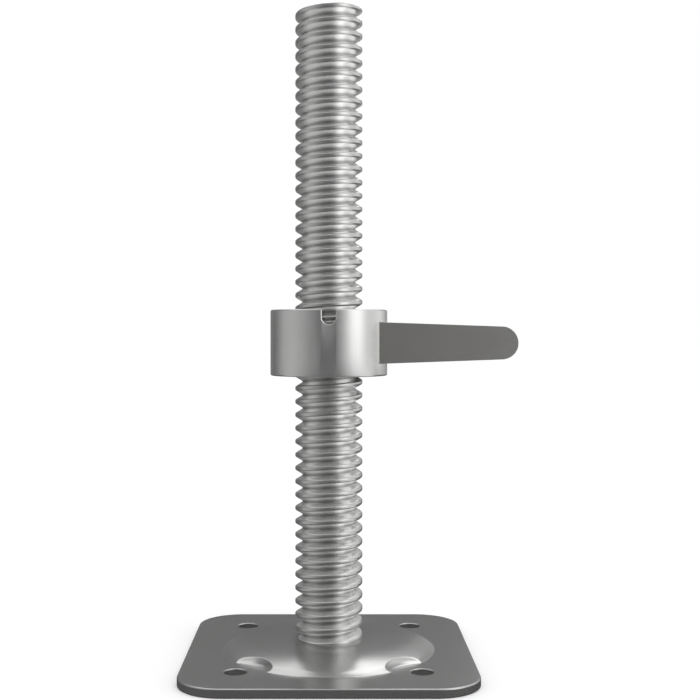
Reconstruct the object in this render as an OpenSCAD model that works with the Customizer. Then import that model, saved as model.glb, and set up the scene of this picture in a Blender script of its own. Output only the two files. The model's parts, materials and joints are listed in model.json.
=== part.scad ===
// Scaffold base jack: a square pressed base plate, a tubular threaded spindle
// and a collar nut with a lever, which sets the height of the scaffold tube.
// Millimetres. The spindle's axis is Z, the floor is Z = 0, the lever points to +X.

/* [Base plate] */
// Side of the square plate
plate_w = 158; // [150:1:180]
// Radius of the plate's corners, seen from above
plate_corner_r = 25; // [15:1:35]
// Thickness of the steel sheet
sheet_t = 5; // [4:0.25:6]
// Rounding of the plate's sheared edges
plate_edge_r = 0.8; // [0.3:0.1:1.5]

/* [Pressed dome] */
// Height of the dome above the plate, on the axis
dome_h = 6.6; // [6:0.1:7.5]
// Radius of curvature of the dome's crown
dome_crown_r = 500; // [400:10:700]
// Distance from the axis at which the shoulder begins
dome_shoulder_x = 35; // [30:1:40]
// Radius of curvature of the shoulder
dome_shoulder_r = 110; // [95:1:130]
// Distance from the axis at which the lip begins
dome_lip_x = 54; // [52:0.5:56]
// Radius of curvature of the lip, which falls to the plate
dome_lip_r = 17.5; // [15:0.5:20]

/* [Anchor holes] */
// Distance between the holes, along both sides of the plate
hole_spacing = 98; // [94:1:104]
// Diameter of the holes
hole_d = 12; // [9:0.5:14]
// Radius of the flat seat round each hole
pocket_r = 21.8; // [20:0.1:24]
// Distance of the seat's axis from the hole's, along both sides of the plate
pocket_shift = 4.4; // [3:0.1:6]
// Radius of the cove between the seat and the dome
pocket_cove_r = 9; // [7:0.25:11]
// Slope at which the cove leaves the seat
pocket_cove_angle = 24; // [15:1:30]

/* [Spindle] */
// Diameter over the thread's crests
spindle_d = 38; // [34:0.5:42]
// Step from the crests in to the plain foot
spindle_foot_step = 0.5; // [0.4:0.1:1]
// Bore of the tubular spindle
spindle_bore_d = 22; // [16:0.5:24]
// Overall length
spindle_l = 363; // [300:5:600]
// Length that stands out under the sheet, for the weld
spindle_stub = 4; // [3.5:0.1:4.5]
// Chamfer at the top end
spindle_chamfer = 1.6; // [0.5:0.1:2.5]

/* [Thread] */
// Height gained in one turn
thread_pitch = 7.5; // [6:0.25:10]
// Radial depth of the groove
thread_depth = 4.1; // [2.5:0.1:4.2]
// Width of the flat crest
thread_crest_w = 2.5; // [1.5:0.1:3]
// Width of the flat at the groove's root
thread_root_w = 0.6; // [0.4:0.1:1.5]
// Direction in which the thread starts, from +X
thread_start = 7; // [0:1:359]
// Turns over which the groove runs out at each end
thread_runout = 0.5; // [0.25:0.25:1]
// Flats in one turn
thread_flats = 24; // [16:4:28]

/* [Weld] */
// Leg of the fillet weld round the spindle, under the sheet
weld_leg = 3.2; // [2.5:0.1:3.5]

/* [Collar nut] */
// Outer diameter
collar_d = 66; // [60:0.5:72]
// Height
collar_h = 37; // [30:0.5:50]
// Height of the collar's underside above the floor
collar_z = 158.8; // [60:0.1:240]
// Rounding of the outer rims
collar_rim_r = 1; // [0.5:0.1:2]
// Clearance round the thread's crests
nut_clearance = 0.3; // [0.25:0.05:0.6]
// Chamfer at both ends of the bore
nut_chamfer = 1; // [0.5:0.1:1.5]

/* [Tube cup] */
// Outer diameter of the scaffold tube that stands in the cup
tube_d = 48.3; // [48:0.1:51]
// Clearance round the tube
tube_clearance = 0.5; // [0.3:0.05:1]
// Depth of the cup
cup_depth = 12; // [11:0.5:16]
// Width of the notch in the rim
notch_w = 7.8; // [6:0.1:12]
// Depth of the notch
notch_depth = 8.4; // [7:0.1:10]

/* [Lever] */
// Distance of the tip from the spindle's axis
lever_reach = 104.6; // [85:0.1:140]
// Width at the collar
lever_root_w = 23.1; // [20:0.1:26]
// Width of the round tip
lever_tip_w = 18.3; // [15:0.1:20]
// Thickness of the bar
lever_t = 10; // [8:0.5:12]
// Distance of the front face from the spindle's axis
lever_front = 17.8; // [15:0.1:22]

/* [Hidden] */

// Past the solids on each side, so that no two faces of a cut coincide
over = 1;
// Fine arcs for the large radii of the dome, and for everything else that is round
dome_fn = 1440;
$fn = 96;

spindle_r = spindle_d / 2;
foot_r = spindle_r - spindle_foot_step;
collar_r = collar_d / 2;
nut_bore_r = spindle_r + nut_clearance;
cup_r = tube_d / 2 + tube_clearance;

// Dome section, as height over distance from the axis: the centres of the crown, the
// shoulder and the lip, and the directions in which these arcs are tangent
crown_c = [0, sheet_t + dome_h - dome_crown_r];
shoulder_dir = [dome_shoulder_x, sqrt(pow(dome_crown_r, 2) - pow(dome_shoulder_x, 2))] / dome_crown_r;
shoulder_c = crown_c + (dome_crown_r - dome_shoulder_r) * shoulder_dir;
lip_run = dome_lip_x - shoulder_c[0];
lip_dir = [lip_run, sqrt(pow(dome_shoulder_r, 2) - pow(lip_run, 2))] / dome_shoulder_r;
lip_c = shoulder_c + (dome_shoulder_r - dome_lip_r) * lip_dir;

// Height of the crown's underside at a distance from the axis
function crown_under_z(x) = crown_c[1] + sqrt(pow(dome_crown_r - sheet_t, 2) - pow(x, 2));

// Underside of the sheet where the spindle passes through, and the spindle's ends
spindle_seat_z = crown_under_z(foot_r);
spindle_z = spindle_seat_z - spindle_stub;
spindle_top_z = spindle_z + spindle_l;

// Seat pocket: place of its axis, and centre of its cove over distance from that axis
pocket_xy = hole_spacing / 2 + pocket_shift;
cove_c = [pocket_r - pocket_cove_r * sin(pocket_cove_angle), sheet_t + pocket_cove_r * cos(pocket_cove_angle)];

// Slip fit of the spindle in the sheet
seat_gap = 0.1;

// Angle at which the lever's sides run into its round tip, just short of tangent
tip_entry = 8;

// ---------- base plate ----------

// Rectangle on the X axis with all four corners rounded
module rounded_bar(w, h, r) {
    translate([-w / 2, r]) square([w, h - 2 * r]);
    translate([r - w / 2, 0]) square([w - 2 * r, h]);
    for (x = [r - w / 2, w / 2 - r], y = [r, h - r])
        translate([x, y]) circle(r);
}

// The half of a profile that a revolve takes
module right_half(size) {
    intersection() {
        children();
        translate([0, -size]) square([size, 2 * size]);
    }
}

// Flat square sheet with round corners and rounded edges
module blank_sheet() {
    side = plate_w - 2 * plate_corner_r;
    for (turn = [0, 90])
        rotate([90, 0, turn])
            linear_extrude(height = side, center = true)
                rounded_bar(plate_w, sheet_t, plate_edge_r);
    for (x = [-side / 2, side / 2], y = [-side / 2, side / 2])
        translate([x, y, 0])
            rotate_extrude()
                right_half(plate_w) rounded_bar(2 * plate_corner_r, sheet_t, plate_edge_r);
}

// Upright strip of a section between two distances from the axis
module strip(x0, x1, z1) {
    translate([x0, 0]) square([x1 - x0, z1]);
}

// Section of the dome down to the floor: crown, shoulder and lip, tangent to each other.
// inset moves the whole surface inwards, as the sheet's underside is
module dome_section(inset) {
    high = sheet_t + dome_h + over;
    shoulder_x = (dome_crown_r - inset) * shoulder_dir[0];
    lip_x = shoulder_c[0] + (dome_shoulder_r - inset) * lip_dir[0];
    intersection() {
        translate(crown_c) circle(dome_crown_r - inset, $fn = dome_fn);
        strip(0, shoulder_x, high);
    }
    intersection() {
        translate(shoulder_c) circle(dome_shoulder_r - inset, $fn = dome_fn);
        strip(shoulder_x, lip_x, high);
    }
    intersection() {
        translate(lip_c) circle(dome_lip_r - inset, $fn = dome_fn);
        strip(lip_x, lip_x + dome_lip_r, high);
    }
}

// Round recess over an anchor hole: flat seat, cove and straight wall.
// grow moves its wall outwards and its seat down, as the sheet's underside is
module pocket_section(grow) {
    high = sheet_t + dome_h + over;
    wall_x = cove_c[0] + pocket_cove_r + grow;
    intersection() {
        union() {
            translate(cove_c) circle(pocket_cove_r + grow);
            square([cove_c[0], cove_c[1]]);
        }
        translate([0, sheet_t - grow]) square([wall_x, high]);
    }
    translate([0, cove_c[1]]) square([wall_x, high]);
}

// Copies of the children on both diagonals, at a distance from the X and Y axes
module at_corners(distance) {
    for (x = [-1, 1], y = [-1, 1])
        translate([x, y, 0] * distance) children();
}

module base_plate() {
    color([0.62, 0.62, 0.61])
        difference() {
            union() {
                blank_sheet();
                rotate_extrude() dome_section(0);
            }
            at_corners(pocket_xy) rotate_extrude() right_half(plate_w) pocket_section(0);
            difference() {
                rotate_extrude() dome_section(sheet_t);
                at_corners(pocket_xy) rotate_extrude() right_half(plate_w) pocket_section(sheet_t);
            }
            at_corners(hole_spacing / 2)
                translate([0, 0, -over]) cylinder(d = hole_d, h = sheet_t + 2 * over);
            translate([0, 0, -over])
                cylinder(r = spindle_r + seat_gap, h = sheet_t + dome_h + 2 * over);
        }
}

// ---------- spindle ----------

// The groove is a helical strip. Its section has four corners: where it leaves the
// crest, both sides of its root, and where it meets the crest above
flank_w = (thread_pitch - thread_crest_w - thread_root_w) / 2;
corner_rise = [0, flank_w, flank_w + thread_root_w, 2 * flank_w + thread_root_w];
corner_cut = [0, 1, 1, 0];
corners = len(corner_rise);

// Plain land left at each end of the thread
thread_land = 0.4;
thread_z = spindle_seat_z;
groove_z = thread_z + thread_land;
shoulder_z = spindle_top_z - spindle_chamfer;
groove_rise = shoulder_z - thread_land - groove_z - corner_rise[3];
steps = floor(groove_rise * thread_flats / thread_pitch);
runout_steps = thread_runout * thread_flats;

function around(r, step, z) =
    let (a = thread_start + 360 * step / thread_flats) [r * cos(a), r * sin(a), z];
function groove_depth(step) = thread_depth * min(1, step / runout_steps, (steps - step) / runout_steps);
function groove_point(step, c) =
    around(spindle_r - corner_cut[c] * groove_depth(step), step,
           groove_z + corner_rise[c] + thread_pitch * step / thread_flats);
function ring(r, z, first) = [for (i = [0:thread_flats - 1]) around(r, first + i, z)];

// Four-sided face between points i and j of a lower row and the same of an upper row
function face(low_i, low_j, high_i, high_j) = [low_i, high_i, high_j, low_j];

// Threaded length: a plain band up to the first turn of the groove, the groove with
// the crest between its turns, and a plain band with a chamfer above the last turn
module threaded_length() {
    groove_n = corners * (steps + 1);
    n = thread_flats;
    last_turn = steps - n;
    points = concat(
        [for (s = [0:steps], c = [0:corners - 1]) groove_point(s, c)],
        ring(spindle_r, thread_z, 0),
        ring(spindle_r, shoulder_z, last_turn),
        ring(spindle_r - spindle_chamfer, spindle_top_z, last_turn));
    function at(s, c) = corners * s + c;
    function low(i) = groove_n + i % n;
    function high(i) = groove_n + n + i % n;
    function end(i) = groove_n + 2 * n + i % n;
    first_seam = [for (c = [0:corners - 1]) at(0, c)];
    last_seam = [for (c = [0:corners - 1]) at(steps, c)];
    faces = concat(
        [for (s = [0:steps - 1], c = [0:corners - 2])
            face(at(s, c), at(s + 1, c), at(s, c + 1), at(s + 1, c + 1))],
        [for (s = [0:last_turn - 1])
            face(at(s, corners - 1), at(s + 1, corners - 1), at(s + n, 0), at(s + n + 1, 0))],
        [for (i = [0:n - 2]) face(low(i), low(i + 1), at(i, 0), at(i + 1, 0))],
        [concat([at(n - 1, 0), at(n, 0)], [for (c = [corners - 1:-1:0]) first_seam[c]], [low(0), low(n - 1)])],
        [for (i = [1:n - 1])
            face(at(last_turn + i, corners - 1), at(last_turn + i + 1, corners - 1), high(i), high(i + 1))],
        [concat([at(last_turn + 1, corners - 1), at(last_turn, corners - 1)], last_seam, [high(0), high(1)])],
        [for (i = [0:n - 1]) face(high(i), high(i + 1), end(i), end(i + 1))],
        [[for (i = [0:n - 1]) low(i)]],
        [[for (i = [n - 1:-1:0]) end(i)]]);
    polyhedron(points, faces, convexity = 10);
}

module spindle() {
    color([0.66, 0.66, 0.65])
        difference() {
            union() {
                translate([0, 0, spindle_z]) cylinder(r = foot_r, h = thread_z - spindle_z);
                threaded_length();
            }
            translate([0, 0, spindle_z - over]) cylinder(d = spindle_bore_d, h = spindle_l + 2 * over);
        }
}

// Fillet weld between the spindle's plain foot and the underside of the dome
module spindle_weld() {
    toe_x = foot_r + weld_leg;
    color([0.5, 0.5, 0.49])
        rotate_extrude()
            polygon([[foot_r, spindle_seat_z - weld_leg], [toe_x, crown_under_z(toe_x)],
                     [foot_r, spindle_seat_z]]);
}

// ---------- nut ----------

// Half section of the collar: rounded outer rims, bore with chamfers, cup at the top
module collar_section() {
    cup_z = collar_h - cup_depth;
    chamfer_r = nut_bore_r + nut_chamfer;
    difference() {
        right_half(collar_d) rounded_bar(collar_d, collar_h, collar_rim_r);
        translate([0, -over]) square([nut_bore_r, collar_h + 2 * over]);
        translate([0, cup_z]) square([cup_r, cup_depth + over]);
        polygon([[0, -over], [chamfer_r + over, -over], [nut_bore_r, nut_chamfer], [0, nut_chamfer]]);
        polygon([[0, cup_z - nut_chamfer], [nut_bore_r, cup_z - nut_chamfer],
                 [chamfer_r + over, cup_z + over], [0, cup_z + over]]);
    }
}

// Round-bottomed notch through the front of the rim
module notch() {
    bottom_z = collar_h - notch_depth + notch_w / 2;
    rotate([90, 0, 0])
        linear_extrude(height = collar_r + over) {
            translate([0, bottom_z]) circle(d = notch_w);
            translate([-notch_w / 2, bottom_z]) square([notch_w, notch_depth]);
        }
}

module collar_nut() {
    color([0.68, 0.68, 0.67])
        translate([0, 0, collar_z])
            difference() {
                rotate_extrude() collar_section();
                notch();
            }
}

// Outline of the lever: a tapered bar whose sides run into its round tip
module lever_outline() {
    tip_r = lever_tip_w / 2;
    tip_x = lever_reach - tip_r;
    tip_y = tip_r * cos(tip_entry);
    root_x = sqrt(pow(collar_r, 2) - pow(lever_front, 2));
    root_y = lever_root_w / 2;
    axis_y = root_y + root_x * (root_y - tip_y) / (tip_x - root_x);
    translate([tip_x, 0]) circle(tip_r);
    polygon([[0, -axis_y], [tip_x, -tip_y], [tip_x, tip_y], [0, axis_y]]);
}

// Flat bar seated on the collar's side, at mid height and in front of the axis
module lever() {
    color([0.5, 0.5, 0.49])
        translate([0, 0, collar_z])
            difference() {
                translate([0, lever_t - lever_front, collar_h / 2])
                    rotate([90, 0, 0]) linear_extrude(height = lever_t) lever_outline();
                translate([0, 0, -over]) cylinder(r = collar_r, h = collar_h + 2 * over);
            }
}

base_plate();
spindle();
spindle_weld();
collar_nut();
lever();
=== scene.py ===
import json
import math

import bmesh
import bpy
from mathutils import Matrix, Vector
from mathutils.geometry import delaunay_2d_cdt


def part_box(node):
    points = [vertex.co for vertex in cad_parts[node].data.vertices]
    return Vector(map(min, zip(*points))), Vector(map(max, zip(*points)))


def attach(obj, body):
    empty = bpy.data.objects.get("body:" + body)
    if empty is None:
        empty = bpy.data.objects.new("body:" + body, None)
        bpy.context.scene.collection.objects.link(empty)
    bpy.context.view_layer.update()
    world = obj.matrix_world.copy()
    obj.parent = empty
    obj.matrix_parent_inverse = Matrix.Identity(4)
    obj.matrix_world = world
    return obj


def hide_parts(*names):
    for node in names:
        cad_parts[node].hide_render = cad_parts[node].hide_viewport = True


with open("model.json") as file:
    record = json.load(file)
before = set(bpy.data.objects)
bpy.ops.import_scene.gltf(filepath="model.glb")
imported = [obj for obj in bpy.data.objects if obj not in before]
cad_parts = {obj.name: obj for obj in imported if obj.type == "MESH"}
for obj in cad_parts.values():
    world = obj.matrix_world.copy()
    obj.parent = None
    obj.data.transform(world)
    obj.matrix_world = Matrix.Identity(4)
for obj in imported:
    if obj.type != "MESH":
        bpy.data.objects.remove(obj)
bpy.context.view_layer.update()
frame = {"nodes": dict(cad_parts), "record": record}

MM = 0.001

# ---------- sizes ----------

# All in millimetres, unless the name says otherwise. Heights and overall sizes come from
# the CAD nodes, and the rest repeats the source or fits it more finely to the photo.


def box_mm(node):
    low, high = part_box(node)
    return [v / MM for v in low], [v / MM for v in high]


PLATE_LOW, PLATE_HIGH = box_mm("base_plate")
SPINDLE_LOW, SPINDLE_HIGH = box_mm("spindle")
COLLAR_LOW, COLLAR_HIGH = box_mm("collar_nut")
LEVER_LOW, LEVER_HIGH = box_mm("lever")
MOUNTS = {m["name"]: m for m in frame["record"]["mounts"]}
HOLES = MOUNTS["anchor_holes"]["dims"]

# The plate: its sheet, the arcs of the dome's section, and the seat pockets in its edge.
# The end slopes carry the arcs on past their last point.
SHEET_T = 5.0
PLATE_HALF = (PLATE_HIGH[0] - PLATE_LOW[0]) / 2
PLATE_CORNER_R = 25.0
PLATE_EDGE_R = 0.8
DOME_H = 6.6
CROWN_R = 500.0
SHOULDER_X = 35.0
SHOULDER_R = 110.0
LIP_X = 54.0
LIP_R = 17.5
DOME_END_SLOPE = 4
FOOT_SOFT = 0.12
SEAT_SOFT = 0.08
HOLE_EDGE_R = 0.5
POCKET_R = 21.0
POCKET_SHIFT = 4.4
COVE_R = 8.0
COVE_ANGLE = math.radians(16)
COVE_END_SLOPE = 6
POCKET_RIM = 0.7
SEAM_GAP = 0.06
SEAM_EDGE_R = 0.05

# The spindle: crests and roots of its thread are rounded over a share of the flank.
CREST_R = 19.0
FOOT_R = 18.5
BORE_R = 11.0
BORE_EDGE = 0.8
PITCH = 7.5
THREAD_DEPTH = 4.15
CREST_W = 2.1
ROOT_W = 0.5
CREST_SOFT = 0.19
ROOT_SOFT = 0.14
THREAD_START = math.radians(7)
THREAD_Z = 6.25
THREAD_LAND = 0.4
CAD_CREST_W = 2.5
NECK_R = 14.6
NECK_BELOW_TOP = 0.6
TOP_CHAMFER = 0.4
TOP_CHAMFER_SLOPE = 1.2

# The collar, its cup and the notch in the cup's rim.
COLLAR_R = (COLLAR_HIGH[1] - COLLAR_LOW[1]) / 2
NUT_BORE_R = CREST_R + 0.3
NUT_BORE_CHAMFER = 1.0
CUP_R = 24.65
CUP_DEPTH = 12.0
CUP_EDGE_R = 0.5
RIM_R = 1.0
NOTCH_W = 7.8
NOTCH_DEPTH = 8.4
NOTCH_CHAMFER = 0.9
NOTCH_CHAMFER_DEPTH = 0.5

# The lever, which sinks a little into the collar.
LEVER_TIP_R = 9.15
LEVER_ROOT_HALF = (LEVER_HIGH[2] - LEVER_LOW[2]) / 2
LEVER_SINK = 0.15
LEVER_EDGE_R = 0.15


# ---------- mesh helpers ----------


def new_piece(name, vertices, faces, sharp=35):
    """A mesh from points in millimetres, shaded smooth up to an angle in degrees."""
    mesh = bpy.data.meshes.new(name)
    mesh.from_pydata([[c * MM for c in v] for v in vertices], [], faces)
    mesh.validate()
    shell = bmesh.new()
    shell.from_mesh(mesh)
    bmesh.ops.recalc_face_normals(shell, faces=shell.faces)
    shell.to_mesh(mesh)
    shell.free()
    smooth(mesh, sharp)
    piece = bpy.data.objects.new(name, mesh)
    bpy.context.scene.collection.objects.link(piece)
    return piece


def smooth(mesh, sharp):
    """Smooth shading, apart from edges sharper than an angle in degrees."""
    mesh.shade_smooth()
    mesh.set_sharp_from_angle(angle=math.radians(sharp))


def bevel(piece, width, segments, angle):
    """Rounds the edges that are sharper than an angle in degrees."""
    modifier = piece.modifiers.new("bevel", "BEVEL")
    modifier.width = width * MM
    modifier.segments = segments
    modifier.limit_method = "ANGLE"
    modifier.angle_limit = math.radians(angle)


def apply_modifiers(piece):
    """Replaces the mesh by what its modifiers make of it."""
    bpy.context.view_layer.update()
    graph = bpy.context.evaluated_depsgraph_get()
    mesh = bpy.data.meshes.new_from_object(piece.evaluated_get(graph))
    piece.modifiers.clear()
    piece.data = mesh


def arc(centre, radius, start, end, count):
    """Points along an arc, its angles in degrees from the first axis."""
    steps = [math.radians(start + (end - start) * i / count) for i in range(count + 1)]
    return [(centre[0] + radius * math.cos(a), centre[1] + radius * math.sin(a)) for a in steps]


def place(piece, node, body):
    """Hides the CAD node that the piece stands for, and says what the piece moves with."""
    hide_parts(node)
    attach(piece, body)


# ---------- spindle ----------


def soft_ramp(t):
    """0 to 1 with rounded corners: how deep the thread is across a flank."""
    if t < CREST_SOFT:
        t = max(0.0, t + CREST_SOFT) ** 2 / (4 * CREST_SOFT)
    elif t > 1 - ROOT_SOFT:
        t = 1 - max(0.0, 1 + ROOT_SOFT - t) ** 2 / (4 * ROOT_SOFT)
    return t


def groove_radius(angle, z):
    """The thread's surface, as a distance from the axis."""
    flank = (PITCH - CREST_W - ROOT_W) / 2
    climb = PITCH * (angle - THREAD_START) / math.tau
    crest_z = THREAD_Z + THREAD_LAND - CAD_CREST_W / 2 + climb
    off = abs((z - crest_z + PITCH / 2) % PITCH - PITCH / 2)
    return CREST_R - THREAD_DEPTH * soft_ramp((off - CREST_W / 2) / flank)


def spindle_radius(angle, z):
    """The plain foot, a neck inside the sheet, the thread and the chamfer on top."""
    if z < THREAD_Z:
        return FOOT_R
    if z < dome_z(CREST_R) - NECK_BELOW_TOP:
        return NECK_R
    chamfer = CREST_R - TOP_CHAMFER + (SPINDLE_HIGH[2] - z) * TOP_CHAMFER_SLOPE
    return min(groove_radius(angle, z), chamfer)


def make_spindle(columns=112, rows=16):
    """Rows of points climb with the thread, so its edges run along them. Rows past
    either end fold onto the end's ring."""
    low_z, high_z = SPINDLE_LOW[2], SPINDLE_HIGH[2]
    vertices, index = [], {}

    def point(column, row):
        if column == columns:
            column, row = 0, row + rows
        z = THREAD_Z + PITCH * (column / columns + row / rows)
        z = min(max(z, low_z), high_z)
        key = (column, "low" if z == low_z else "high" if z == high_z else row)
        if key not in index:
            angle = THREAD_START + math.tau * column / columns
            r = spindle_radius(angle, z)
            index[key] = len(vertices)
            vertices.append((r * math.cos(angle), r * math.sin(angle), z))
        return index[key]

    first = math.floor((low_z - THREAD_Z) / PITCH * rows) - rows
    last = math.ceil((high_z - THREAD_Z) / PITCH * rows)
    faces = []
    for column in range(columns):
        for row in range(first, last):
            corners = [point(column, row), point(column + 1, row),
                       point(column + 1, row + 1), point(column, row + 1)]
            corners = [c for i, c in enumerate(corners) if c != corners[i - 1]]
            if len(corners) > 2:
                faces.append(corners)
    outer_top = [index[(c, "high")] for c in range(columns)]
    outer_low = [index[(c, "low")] for c in range(columns)]
    bore = [(BORE_R + BORE_EDGE, high_z), (BORE_R, high_z - BORE_EDGE),
            (BORE_R, low_z + BORE_EDGE), (BORE_R + BORE_EDGE, low_z)]
    rings = [outer_top]
    for r, z in bore:
        rings.append([])
        for c in range(columns):
            angle = THREAD_START + math.tau * c / columns
            rings[-1].append(len(vertices))
            vertices.append((r * math.cos(angle), r * math.sin(angle), z))
    rings.append(outer_low)
    for upper, lower in zip(rings, rings[1:]):
        for c in range(columns):
            d = (c + 1) % columns
            faces.append([upper[c], upper[d], lower[d], lower[c]])
    piece = new_piece("threaded_spindle", vertices, faces, sharp=50)
    place(piece, "spindle", "base")
    return piece


# ---------- base plate ----------

CROWN_C = (0.0, SHEET_T + DOME_H - CROWN_R)
SHOULDER_DIR = (SHOULDER_X / CROWN_R, math.sqrt(1 - (SHOULDER_X / CROWN_R) ** 2))
SHOULDER_C = tuple(c + (CROWN_R - SHOULDER_R) * d for c, d in zip(CROWN_C, SHOULDER_DIR))
LIP_SIN = (LIP_X - SHOULDER_C[0]) / SHOULDER_R
LIP_DIR = (LIP_SIN, math.sqrt(1 - LIP_SIN ** 2))
LIP_C = tuple(c + (SHOULDER_R - LIP_R) * d for c, d in zip(SHOULDER_C, LIP_DIR))
FOOT_X = LIP_C[0] + math.sqrt(LIP_R ** 2 - (SHEET_T - LIP_C[1]) ** 2)
HOLE_XY = [(sx * HOLES["spacing_x_mm"] / 2, sy * HOLES["spacing_y_mm"] / 2)
           for sx in (-1, 1) for sy in (-1, 1)]
POCKET_XY = [tuple(c + math.copysign(POCKET_SHIFT, c) for c in hole) for hole in HOLE_XY]


def on_arc(centre, radius, x):
    """Height of an arc's upper half over a place."""
    return centre[1] + math.sqrt(max(0.0, radius ** 2 - (x - centre[0]) ** 2))


def dome_z(r, inset=0.0):
    """Height of the dome's outer surface, or of its underside, which is an inset of it:
    crown, shoulder and lip, then steeply down."""
    if r <= (CROWN_R - inset) * SHOULDER_DIR[0]:
        return on_arc(CROWN_C, CROWN_R - inset, r)
    if r <= SHOULDER_C[0] + (SHOULDER_R - inset) * LIP_DIR[0]:
        return on_arc(SHOULDER_C, SHOULDER_R - inset, r)
    past_end = max(0.0, r - LIP_C[0] - LIP_R + inset)
    return on_arc(LIP_C, LIP_R - inset, r) - DOME_END_SLOPE * past_end


def cove_z(d, grow=0.0):
    """Height of the wall of a seat pocket, at a distance from the pocket's axis."""
    cx = POCKET_R - COVE_R * math.sin(COVE_ANGLE)
    cz = SHEET_T + COVE_R * math.cos(COVE_ANGLE)
    out = max(0.0, d - cx)
    radius = COVE_R + grow
    reach = min(out, 0.98 * radius)
    return cz - math.sqrt(radius ** 2 - reach ** 2) + (out - reach) * COVE_END_SLOPE


def soft_min(a, b, k):
    """The lower of two heights, rounded over a band of height k where they meet."""
    h = max(k - abs(a - b), 0.0)
    return min(a, b) - (h * h / (4 * k) if h else 0.0)


def nearest(x, y, centres):
    """Distance to the nearest of some centres."""
    return min(math.hypot(x - cx, y - cy) for cx, cy in centres)


def top_z(x, y):
    """Height of the plate's upper side: the flat sheet, and the dome where no pocket
    cuts it."""
    dome = -soft_min(-SHEET_T, -dome_z(math.hypot(x, y)), FOOT_SOFT)
    seat = -soft_min(-SHEET_T, -cove_z(nearest(x, y, POCKET_XY)), SEAT_SOFT)
    return max(SHEET_T, soft_min(dome, seat, POCKET_RIM * min(1.0, (dome - SHEET_T) / 2)))


def under_z(x, y):
    """Height of the plate's underside, one sheet thickness inside its upper side."""
    hollow = dome_z(math.hypot(x, y), SHEET_T)
    return max(0.0, min(hollow, cove_z(nearest(x, y, POCKET_XY), SHEET_T)))


def outline(inset, spacing):
    """Points and outward normals round the plate's square with round corners."""
    half = PLATE_HALF - PLATE_CORNER_R
    radius = PLATE_CORNER_R - inset
    result = []
    for quarter in range(4):
        turn = Matrix.Rotation(math.tau * quarter / 4, 2)
        steps = math.ceil(radius * math.pi / 2 / spacing)
        for i in range(steps + 1):
            a = math.pi / 2 * i / steps
            normal = Vector((math.cos(a), math.sin(a)))
            result.append((turn @ (Vector((half, half)) + normal * radius), turn @ normal))
        steps = math.ceil(2 * half / spacing)
        for i in range(1, steps):
            spot = Vector((half - 2 * half * i / steps, half + radius))
            result.append((turn @ spot, turn @ Vector((0, 1))))
    return result


def ring(centre, radius, count, start=0.0):
    """Points evenly round a circle."""
    return [(centre[0] + radius * math.cos(start + math.tau * i / count),
             centre[1] + radius * math.sin(start + math.tau * i / count)) for i in range(count)]


def slope_normal(height, x, y, side):
    """Unit normal of a height function, pointing up or down."""
    h = 0.06
    dx = (height(x + h, y) - height(x - h, y)) / (2 * h)
    dy = (height(x, y + h) - height(x, y - h)) / (2 * h)
    return Vector((-dx, -dy, 1)).normalized() * side


def corner_distance(x, y):
    """Distance beyond the square that the round corners' centres span."""
    half = PLATE_HALF - PLATE_CORNER_R
    return math.hypot(max(abs(x) - half, 0), max(abs(y) - half, 0))


def plate_points(hole_r, seam):
    """Points of the plate's plan: its borders first, as closed loops, then rings that
    follow the dome's lip and the pockets, and a coarse grid on the flat."""
    points, loops = [], []

    def add(ps, loop=False):
        first = len(points)
        points.extend((round(p[0], 5), round(p[1], 5)) for p in ps)
        if loop:
            loops.append(list(range(first, len(points))))

    add([p for p, _ in outline(PLATE_EDGE_R, 2.0)], loop=True)
    for centre in HOLE_XY:
        add(ring(centre, hole_r, 96), loop=True)
    add(seam, loop=True)
    for centre in HOLE_XY:
        add(ring(centre, hole_r + 1.5, 64))

    # Up the walls of the pockets.
    wall, steps, count = 6.4, 26, 300
    wall_end = POCKET_R + wall
    foot_end = FOOT_X + 1.2
    for k in range(-2, steps + 1):
        r = POCKET_R + (wall_end - POCKET_R) * k / steps
        for centre in POCKET_XY:
            for p in ring(centre, r, count, start=(k % 2) * math.pi / count):
                if math.hypot(*p) < foot_end and nearest(*p, HOLE_XY) > hole_r + 2:
                    add([p])

    # Over the dome, closer together at its lip and foot.
    r = max(math.hypot(*p) for p in seam) + 0.9
    k = 0
    while r < FOOT_X + 2.5:
        near_foot = r > LIP_X - 1.5
        count = 400 if near_foot else 220
        for p in ring((0, 0), r, count, start=(k % 2) * math.pi / count):
            d = nearest(*p, POCKET_XY)
            on_wall = POCKET_R - 0.5 < d < wall_end + 0.3 and r < foot_end
            if not on_wall and nearest(*p, HOLE_XY) > hole_r + 2.2:
                add([p])
        r, k = r + (0.42 if near_foot else 1.15), k + 1

    # On the flat.
    spacing = 5.0
    n = int(2 * PLATE_HALF / spacing)
    for i in range(1, n):
        for j in range(1, n):
            p = (-PLATE_HALF + spacing * i, -PLATE_HALF + spacing * j)
            if (corner_distance(*p) < PLATE_CORNER_R - 3 and max(map(abs, p)) < PLATE_HALF - 3
                    and math.hypot(*p) > FOOT_X + 4 and nearest(*p, HOLE_XY) > hole_r + 3):
                add([p])
    return points, loops


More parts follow.
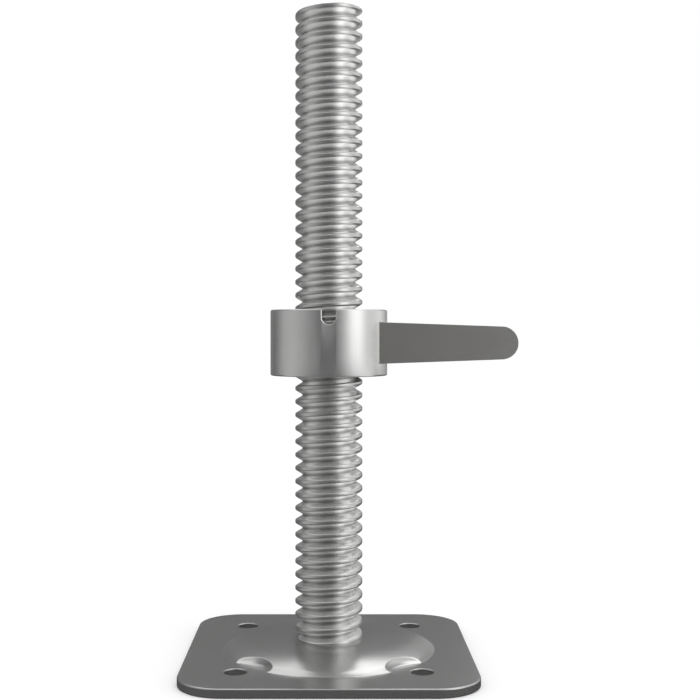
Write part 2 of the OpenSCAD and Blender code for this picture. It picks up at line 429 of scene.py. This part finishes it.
def make_plate():
    """The sheet's top and underside share one triangulation of the plan, and strips
    with rounded edges close it all round. The hole in the middle follows the thread,
    with a small gap."""
    hole_r = HOLES["hole_r_mm"] + HOLE_EDGE_R
    seat_z = dome_z(CREST_R)
    seam, seam_count = [], 240
    for i in range(seam_count):
        a = math.tau * i / seam_count
        r = groove_radius(a, seat_z) + SEAM_GAP
        seam.append((r * math.cos(a), r * math.sin(a)))
    points, loops = plate_points(hole_r, seam)
    edges = [(loop[i - 1], loop[i]) for loop in loops for i in range(len(loop))]
    plan, _, triangles, *_ = delaunay_2d_cdt([Vector(p) for p in points], edges, [], 0, 1e-5)

    def is_sheet(face):
        """Whether a triangle's middle lies on the sheet, give or take a little."""
        slack = 0.01
        x = sum(plan[i][0] for i in face) / 3
        y = sum(plan[i][1] for i in face) / 3
        a = math.atan2(y, x) % math.tau
        return (nearest(x, y, HOLE_XY) > hole_r - slack
                and math.hypot(x, y) > groove_radius(a, seat_z) + SEAM_GAP - slack
                and corner_distance(x, y) < PLATE_CORNER_R - PLATE_EDGE_R + slack)

    triangles = [list(f) for f in triangles if is_sheet(f)]
    count = len(plan)
    vertices = [(p[0], p[1], top_z(*p)) for p in plan]
    vertices += [(p[0], p[1], under_z(*p)) for p in plan]
    normals = [slope_normal(top_z, p[0], p[1], 1) for p in plan]
    normals += [slope_normal(under_z, p[0], p[1], -1) for p in plan]
    faces = triangles + [[i + count for i in reversed(f)] for f in triangles]

    uses = {}
    for f in triangles:
        for a, b in zip(f, f[1:] + f[:1]):
            uses.setdefault(frozenset((a, b)), []).append((a, b))
    border = [pair[0] for pair in uses.values() if len(pair) == 1]

    def to_air(x, y):
        """Direction from a border point to open air, and the strip's rounding there."""
        for hx, hy in HOLE_XY:
            if math.hypot(x - hx, y - hy) < hole_r + 1:
                return Vector((hx - x, hy - y)).normalized(), HOLE_EDGE_R
        if math.hypot(x, y) < CREST_R + 1:
            return Vector((-x, -y)).normalized(), SEAM_EDGE_R
        half = PLATE_HALF - PLATE_CORNER_R
        corner = Vector([max(-half, min(half, c)) for c in (x, y)])
        return (Vector((x, y)) - corner).normalized(), PLATE_EDGE_R

    strips = {}

    def strip(i):
        """The border point's column of points, from the upper side to the underside."""
        if i not in strips:
            x, y = plan[i]
            side, radius = to_air(x, y)
            high, low = vertices[i][2], vertices[i + count][2]
            strips[i] = [i]
            turns = [math.radians(a) for a in (22.5, 45, 67.5, 90)]
            for up, level in ((1, high), (-1, low)):
                for a in turns[::up]:
                    out = radius * math.sin(a)
                    z = level - up * radius * (1 - math.cos(a))
                    strips[i].append(len(vertices))
                    vertices.append((x + side.x * out, y + side.y * out, z))
                    normals.append(Vector((*(side * math.sin(a)), up * math.cos(a))))
            strips[i].append(i + count)
        return strips[i]

    for a, b in border:
        left, right = strip(a), strip(b)
        for k in range(len(left) - 1):
            faces.append([right[k], left[k], left[k + 1], right[k + 1]])
    piece = new_piece("pressed_base_plate", vertices, faces)
    piece.data.normals_split_custom_set_from_vertices(normals)
    place(piece, "base_plate", "base")
    return piece


# ---------- collar nut ----------


def make_collar(columns=192):
    """The collar's section, turned round the axis, with the notch cut out of its rim."""
    low, high = COLLAR_LOW[2], COLLAR_HIGH[2]
    cup_z = high - CUP_DEPTH
    section = arc((COLLAR_R - RIM_R, low + RIM_R), RIM_R, -90, 0, 6)
    section += arc((COLLAR_R - RIM_R, high - RIM_R), RIM_R, 0, 90, 6)
    section += arc((CUP_R + CUP_EDGE_R, high - CUP_EDGE_R), CUP_EDGE_R, 90, 180, 4)
    section += [(CUP_R, cup_z)]
    section += [(NUT_BORE_R + NUT_BORE_CHAMFER, cup_z), (NUT_BORE_R, cup_z - NUT_BORE_CHAMFER)]
    section += [(NUT_BORE_R, low + NUT_BORE_CHAMFER), (NUT_BORE_R + NUT_BORE_CHAMFER, low)]
    vertices, faces = [], []
    for c in range(columns):
        a = math.tau * (c + 0.5) / columns
        vertices += [(r * math.cos(a), r * math.sin(a), z) for r, z in section]
    n = len(section)
    for c in range(columns):
        d = (c + 1) % columns
        for k in range(n):
            m = (k + 1) % n
            faces.append([c * n + k, d * n + k, d * n + m, c * n + m])
    collar = new_piece("collar_with_cup", vertices, faces)

    # The cutter is the notch's outline, m points that end above the rim, at three
    # depths. The outermost is wider, for the chamfer.
    bottom, above = high - NOTCH_DEPTH + NOTCH_W / 2, high + 2
    m = 26
    cutter_points = []
    flare = NOTCH_CHAMFER / NOTCH_CHAMFER_DEPTH
    for y, grow in ((-NUT_BORE_R, 0), (-COLLAR_R + NOTCH_CHAMFER_DEPTH, 0),
                    (-COLLAR_R - NOTCH_CHAMFER_DEPTH, 2 * NOTCH_CHAMFER_DEPTH * flare)):
        half = NOTCH_W / 2 + grow
        shape = arc((0, bottom), half, 180, 360, m - 3) + [(half, above), (-half, above)]
        cutter_points += [(x, y, z) for x, z in shape]
    cutter_faces = [[k * m + i, k * m + (i + 1) % m, (k + 1) * m + (i + 1) % m, (k + 1) * m + i]
                    for k in (0, 1) for i in range(m)]
    cutter_faces += [list(range(m)), list(reversed(range(2 * m, 3 * m)))]
    cutter = new_piece("notch_cutter", cutter_points, cutter_faces)
    cut = collar.modifiers.new("notch", "BOOLEAN")
    cut.operation = "DIFFERENCE"
    cut.solver = "EXACT"
    cut.object = cutter
    apply_modifiers(collar)
    bpy.data.objects.remove(cutter)
    smooth(collar.data, 35)
    place(collar, "collar_nut", "nut")
    return collar


# ---------- lever ----------


def make_lever(slices=8):
    """A tapered bar with a round tip, its root fitted to the collar's cylinder."""
    mid_z = (LEVER_LOW[2] + LEVER_HIGH[2]) / 2
    front, back = LEVER_LOW[1], LEVER_HIGH[1]
    tip_x = LEVER_HIGH[0] - LEVER_TIP_R
    root_x = math.sqrt(COLLAR_R ** 2 - front ** 2)
    taper = math.asin((LEVER_ROOT_HALF - LEVER_TIP_R) / (tip_x - root_x))
    side = math.degrees(taper)
    tip = arc((tip_x, 0), LEVER_TIP_R, -90 + side, 90 - side, 40)
    vertices, faces = [], []
    for k in range(slices + 1):
        y = front + (back - front) * k / slices
        seat_x = math.sqrt(COLLAR_R ** 2 - y ** 2) - LEVER_SINK
        half = LEVER_ROOT_HALF - (seat_x - root_x) * math.tan(taper)
        ring_points = [(seat_x, -half)] + tip + [(seat_x, half)]
        vertices += [(x, y, mid_z + z) for x, z in ring_points]
    n = len(tip) + 2
    for k in range(slices):
        for i in range(n):
            j = (i + 1) % n
            faces.append([k * n + i, k * n + j, (k + 1) * n + j, (k + 1) * n + i])
    faces += [list(range(n)), list(reversed(range(slices * n, (slices + 1) * n)))]
    piece = new_piece("lever_bar", vertices, faces)
    bevel(piece, LEVER_EDGE_R, 2, 50)
    apply_modifiers(piece)
    smooth(piece.data, 20)
    place(piece, "lever", "nut")
    return piece


# ---------- materials ----------

METAL = 0.92
PATCH_SCALE, GLOSS_SCALE, GRAIN_SCALE = 60, 400, 900
GLOSS_SPREAD = 0.006
GRAIN_HEIGHT = 0.0003
PLATE_TONE = [0.5, 0.5, 0.495]
COLLAR_TONE = [0.6, 0.6, 0.595]
LEVER_TONE = [0.64, 0.633, 0.613]
WELD_TONE = [0.32, 0.32, 0.31]
CREST_TONE = [0.54, 0.54, 0.535]
# Painted light: the thread's flanks are painted lighter, standing in for light between them.
FLANK_PAINTED_LIGHT_TONE = [0.9, 0.9, 0.89]
# Painted shade: the thread's root is painted back to the crests' tone, a darker line between
# the lit flanks.
ROOT_PAINTED_SHADE_TONE = [0.54, 0.54, 0.535]
CUP_TONE = [0.62, 0.62, 0.615]


class Steel:
    """Satin zinc-plated steel: the tone varies in soft patches, the gloss in smaller
    ones, and a fine grain breaks up the reflections. stretch draws the grain out."""

    def __init__(self, name, tone, rough, mottle=0.03, grain=0.002, stretch=(1, 1, 1)):
        self.material = bpy.data.materials.new(name)
        self.material.use_nodes = True
        self.tree = self.material.node_tree
        self.shader = self.tree.nodes["Principled BSDF"]
        self.shader.inputs["Metallic"].default_value = METAL
        self.at = self.tree.nodes.new("ShaderNodeTexCoord").outputs["Object"]
        drawn = self.tree.nodes.new("ShaderNodeMapping")
        drawn.inputs["Scale"].default_value = stretch
        self.link(self.at, drawn.inputs["Vector"])
        along = drawn.outputs["Vector"]
        darker, lighter = ([c * k for c in tone] for k in (1 - mottle, 1 + mottle))
        patches = self.ramp(self.noise(PATCH_SCALE, 4, self.at), 0.3, 0.7, 0, 1)
        self.colour = self.mix(patches, darker, lighter)
        self.link(self.colour, self.shader.inputs["Base Color"])
        gloss = self.ramp(self.noise(GLOSS_SCALE, 3, along), 0.3, 0.7,
                          rough - GLOSS_SPREAD, rough + GLOSS_SPREAD)
        self.link(gloss, self.shader.inputs["Roughness"])
        bump = self.tree.nodes.new("ShaderNodeBump")
        bump.inputs["Strength"].default_value = grain
        bump.inputs["Distance"].default_value = GRAIN_HEIGHT
        self.link(self.noise(GRAIN_SCALE, 2, along), bump.inputs["Height"])
        self.link(bump.outputs["Normal"], self.shader.inputs["Normal"])

    def link(self, output, socket):
        self.tree.links.new(output, socket)

    def noise(self, scale, detail, along):
        texture = self.tree.nodes.new("ShaderNodeTexNoise")
        texture.inputs["Scale"].default_value = scale
        texture.inputs["Detail"].default_value = detail
        self.link(along, texture.inputs["Vector"])
        return texture.outputs["Fac"]

    def ramp(self, value, from_low, from_high, to_low, to_high):
        spread = self.tree.nodes.new("ShaderNodeMapRange")
        for socket, level in (("From Min", from_low), ("From Max", from_high),
                              ("To Min", to_low), ("To Max", to_high)):
            spread.inputs[socket].default_value = level
        self.link(value, spread.inputs["Value"])
        return spread.outputs["Result"]

    def mix(self, factor, a, b):
        """Two colours, each a list of levels or another node's output."""
        blend = self.tree.nodes.new("ShaderNodeMix")
        blend.data_type = "RGBA"
        self.link(factor, blend.inputs["Factor"])
        for socket, colour in ((blend.inputs[6], a), (blend.inputs[7], b)):
            if isinstance(colour, list):
                socket.default_value = (*colour, 1)
            else:
                self.link(colour, socket)
        return blend.outputs[2]

    def radius(self):
        """Distance from the spindle's axis, in metres."""
        flat = self.tree.nodes.new("ShaderNodeVectorMath")
        flat.operation = "MULTIPLY"
        flat.inputs[1].default_value = (1, 1, 0)
        self.link(self.at, flat.inputs[0])
        length = self.tree.nodes.new("ShaderNodeVectorMath")
        length.operation = "LENGTH"
        self.link(flat.outputs["Vector"], length.inputs[0])
        return length.outputs["Value"]


def thread_steel():
    """The spindle's steel. Its flanks are painted lighter than its crests, a painted light that
    stands in for light between the flanks. Its root is painted back to the crests' tone, a
    painted shade line between the lit flanks: the tones change over a little of the thread's
    depth."""
    steel = Steel("spindle_steel", CREST_TONE, 0.26, grain=0.004)
    r = steel.radius()
    root_r = CREST_R - THREAD_DEPTH
    # Painted light over the flanks and painted shade at the root, by distance from the axis.
    flank = steel.ramp(r, (CREST_R - 0.35) * MM, (CREST_R - 0.85) * MM, 0, 1)
    root = steel.ramp(r, (root_r + 1.1) * MM, (root_r + 0.3) * MM, 0, 1)
    colour = steel.mix(flank, steel.colour, FLANK_PAINTED_LIGHT_TONE)
    colour = steel.mix(root, colour, ROOT_PAINTED_SHADE_TONE)
    steel.link(colour, steel.shader.inputs["Base Color"])
    return steel.material


def collar_steel():
    """The collar's steel, its grain drawn out along Z. The cup and the bore have a tone
    of their own."""
    steel = Steel("nut_steel", COLLAR_TONE, 0.26, grain=0.004, stretch=(1, 1, 0.03))
    inside = steel.ramp(steel.radius(), (CUP_R + 0.6) * MM, (CUP_R + 0.1) * MM, 0, 1)
    steel.link(steel.mix(inside, steel.colour, CUP_TONE), steel.shader.inputs["Base Color"])
    return steel.material


def paint(piece, material):
    """Gives the piece the material in place of any that it has."""
    piece.data.materials.clear()
    piece.data.materials.append(material)


# ---------- stage, light and camera: metres, and degrees for angles ----------

# The studio's walls, seen only in reflections. Azimuths go from the camera's side
# towards +X, and brightness 1 is white. The ring is dim behind the camera, grey at the
# left and bright at the right: its brightness, by azimuth.
RING = ((-140, 0.12), (-118, 0.24), (-98, 0.54), (-72, 0.6), (-45, 0.43), (-30, 0.26),
        (-14, 0.12), (10, 0.12), (22, 0.38), (34, 0.85), (46, 1.75), (62, 1.85),
        (78, 0.9), (100, 0.95), (118, 1.15), (140, 0.6), (152, 0.3))
RING_HEIGHTS = (-6, 50)

# Walls of the ring stand near, apart from those in front, which stand behind the
# camera. One more pair of cards covers the upper part of these.
NEAR, FAR, BEFORE_FAR = 1.6, 3, 2.9
FRONT = 40
FRONT_UPPER = (("left", (-25, -2), (0.21, 0.22)), ("right", (-2, 21), (0.22, 0.32)))
FRONT_UPPER_HEIGHTS = (18, 50)

# The back is dark up to an elevation and bright above it, and so is the ceiling over
# it: name, azimuths, that elevation, the ceiling card's range of x, and brightness.
BACK_LOW = (("right", (152, 169), 33, 0.42), ("middle", (169, 184.5), 33, 0.16),
            ("middle_left", (184.5, 191), 36, 0.16), ("left", (191, 220), 36, 0.22))
BACK_HIGH = (("right", (152, 184.5), 33, (-0.08, 1.4), 2.2),
             ("left", (184.5, 205), 36, (-1.4, -0.08), 1.45))
BACK_HIGH_TOP = 60

# Ceiling and table cards: name, range of x, range of y, height, and brightness at the
# left and at the right.
CEILING = 2.4
ON_FLOOR = 0.00005
FLAT_CARDS = (("above_front", (-1.2, 1.2), (-2.0, 0.5), CEILING, (0.8, 0.8)),
              ("table_left", (-1.6, -0.14), (-1.6, 0.08), ON_FLOOR / 2, (0.6, 0.6)),
              ("table_near", (-0.14, 0.14), (-0.25, 0.08), ON_FLOOR, (0.085, 0.085)),
              ("table_front_left", (-1.2, -0.25), (-3.0, -0.25), ON_FLOOR, (0.7, 0.13)),
              ("table_front", (-0.25, 0.4), (-3.0, -0.25), ON_FLOOR, (0.13, 0.13)),
              ("table_front_right", (0.4, 1.0), (-3.0, -0.25), ON_FLOOR, (0.13, 1.0)),
              ("table_back", (-1.3, 1.3), (0.08, 1.7), ON_FLOOR, (0.15, 0.15)))


def card(name, corners, levels):
    """A card of the studio, seen only in reflections, with a brightness at each corner."""
    mesh = bpy.data.meshes.new(name)
    mesh.from_pydata(corners, [], [[0, 1, 2, 3]])
    mesh.attributes.new("level", "FLOAT", "POINT").data.foreach_set("value", levels)
    sheet = bpy.data.objects.new(name, mesh)
    bpy.context.scene.collection.objects.link(sheet)
    sheet.visible_camera = False
    sheet.visible_diffuse = False
    sheet.visible_shadow = False
    material = bpy.data.materials.new(name)
    material.use_nodes = True
    nodes, links = material.node_tree.nodes, material.node_tree.links
    nodes.remove(nodes["Principled BSDF"])
    emission = nodes.new("ShaderNodeEmission")
    level = nodes.new("ShaderNodeAttribute")
    level.attribute_name = "level"
    links.new(level.outputs["Fac"], emission.inputs["Strength"])
    links.new(emission.outputs[0], nodes["Material Output"].inputs["Surface"])
    mesh.materials.append(material)


def wall(name, azimuths, elevations, levels, distance=NEAR):
    """An upright card that fills a range of azimuths and elevations round the jack. Its
    brightness goes from one level at the first azimuth to another at the second."""
    low, high = (distance * math.tan(math.radians(e)) for e in elevations)
    left, right = azimuths
    card(name, [around(left, distance, low), around(right, distance, low),
                around(right, distance, high), around(left, distance, high)],
         [levels[0], levels[1], levels[1], levels[0]])


def flat_card(name, xs, ys, z, levels):
    """A level card, on the floor or overhead. Its brightness goes from one level at the
    left to another at the right."""
    card(name, [(xs[0], ys[0], z), (xs[1], ys[0], z), (xs[1], ys[1], z), (xs[0], ys[1], z)],
         [levels[0], levels[1], levels[1], levels[0]])


def seen_directly(nodes, links):
    """1 for camera, glossy and transmission rays, 0 for the rest."""
    path = nodes.new("ShaderNodeLightPath")
    total = None
    for ray in ("Is Camera Ray", "Is Glossy Ray", "Is Transmission Ray"):
        if total is None:
            total = path.outputs[ray]
            continue
        most = nodes.new("ShaderNodeMath")
        most.operation = "MAXIMUM"
        links.new(total, most.inputs[0])
        links.new(path.outputs[ray], most.inputs[1])
        total = most.outputs["Value"]
    return total


def make_world(ambient=0.9):
    """White where it's seen, and a little dimmer where it lights matt surfaces."""
    world = bpy.data.worlds.new("studio")
    bpy.context.scene.world = world
    world.use_nodes = True
    nodes, links = world.node_tree.nodes, world.node_tree.links
    background = nodes["Background"]
    background.inputs["Color"].default_value = (1, 1, 1, 1)
    level = nodes.new("ShaderNodeMapRange")
    level.inputs["To Min"].default_value = ambient
    level.inputs["To Max"].default_value = 1.0
    links.new(seen_directly(nodes, links), level.inputs["Value"])
    links.new(level.outputs["Result"], background.inputs["Strength"])


def make_floor(albedo=0.95, lift=0.16):
    """Pale floor. What lights it leaves it a little under white, lift brings it up to
    the backdrop's white, and the object's shadow stays."""
    half = 12.0
    corners = [(-half, -half, 0), (half, -half, 0), (half, half, 0), (-half, half, 0)]
    mesh = bpy.data.meshes.new("floor")
    mesh.from_pydata(corners, [], [[0, 1, 2, 3]])
    floor = bpy.data.objects.new("floor", mesh)
    bpy.context.scene.collection.objects.link(floor)
    material = bpy.data.materials.new("pale_floor")
    material.use_nodes = True
    nodes, links = material.node_tree.nodes, material.node_tree.links
    nodes.remove(nodes["Principled BSDF"])
    matt = nodes.new("ShaderNodeBsdfDiffuse")
    matt.inputs["Color"].default_value = (albedo, albedo, albedo, 1)
    shine = nodes.new("ShaderNodeEmission")
    level = nodes.new("ShaderNodeMath")
    level.operation = "MULTIPLY"
    level.inputs[1].default_value = lift
    links.new(seen_directly(nodes, links), level.inputs[0])
    links.new(level.outputs["Value"], shine.inputs["Strength"])
    both = nodes.new("ShaderNodeAddShader")
    links.new(matt.outputs[0], both.inputs[0])
    links.new(shine.outputs[0], both.inputs[1])
    links.new(both.outputs[0], nodes["Material Output"].inputs["Surface"])
    mesh.materials.append(material)


def area_lamp(name, size, centre, target, level):
    """An area light whose surface has a given brightness, 1 being white."""
    data = bpy.data.lights.new(name, "AREA")
    data.shape = "RECTANGLE"
    data.size, data.size_y = size
    data.energy = level * math.pi * size[0] * size[1]
    lamp = bpy.data.objects.new(name, data)
    bpy.context.scene.collection.objects.link(lamp)
    direction = Vector(target) - Vector(centre)
    lamp.rotation_euler = direction.to_track_quat("-Z", "Y").to_euler()
    lamp.location = centre
    lamp.visible_camera = False
    return lamp


def matt_lamp(*args):
    """A lamp that lights matt surfaces and isn't reflected."""
    area_lamp(*args).visible_glossy = False


def around(azimuth, distance, height):
    """A point round the spindle: azimuth in degrees from the camera's side towards +X."""
    a = math.radians(azimuth)
    return (distance * math.sin(a), -distance * math.cos(a), height)


def make_light():
    """One soft lamp lights what is matt. Bright, grey and dark cards stand round the
    jack for its metal to reflect."""
    matt_lamp("soft_lamp", (1.2, 1.2), around(40, 1.2, 1.6), (0, 0, 0), 0.5)
    for number, (left, right) in enumerate(zip(RING, RING[1:])):
        distance = FAR if max(-left[0], right[0]) < FRONT else NEAR
        azimuths, levels = zip(left, right)
        wall(f"ring_{number}", azimuths, RING_HEIGHTS, levels, distance)
    for side, azimuths, levels in FRONT_UPPER:
        wall(f"front_upper_{side}", azimuths, FRONT_UPPER_HEIGHTS, levels, BEFORE_FAR)
    for side, azimuths, top, level in BACK_LOW:
        wall(f"back_low_{side}", azimuths, (0, top), (level, level))
    for side, azimuths, foot, xs, level in BACK_HIGH:
        wall(f"back_high_{side}", azimuths, (foot, BACK_HIGH_TOP), (level, level))
        flat_card(f"above_{side}", xs, (0.5, 1.5), CEILING, (level, level))
    for flat in FLAT_CARDS:
        flat_card(*flat)


def make_camera():
    """At the photo's place: level, in front of the jack and at half its height."""
    data = bpy.data.cameras.new("camera")
    data.sensor_width = 36
    data.lens = 60.7
    data.shift_x = 0.0302
    data.shift_y = -0.0241
    data.clip_start = 0.01
    camera = bpy.data.objects.new("camera", data)
    camera.location = (0, -0.668, 0.1827)
    camera.rotation_euler = (math.radians(90), 0, 0)
    bpy.context.scene.collection.objects.link(camera)
    bpy.context.scene.camera = camera


# ---------- the whole scene ----------

make_camera()
make_world()
make_floor()
make_light()
bpy.context.scene.view_settings.view_transform = "Standard"

spindle = make_spindle()
plate = make_plate()
collar = make_collar()
lever = make_lever()

paint(spindle, thread_steel())
paint(plate, Steel("plate_steel", PLATE_TONE, 0.25).material)
paint(collar, collar_steel())
paint(lever, Steel("lever_steel", LEVER_TONE, 0.24).material)
paint(frame["nodes"]["spindle_weld"],
      Steel("weld_steel", WELD_TONE, 0.4, mottle=0.12, grain=0.5).material)
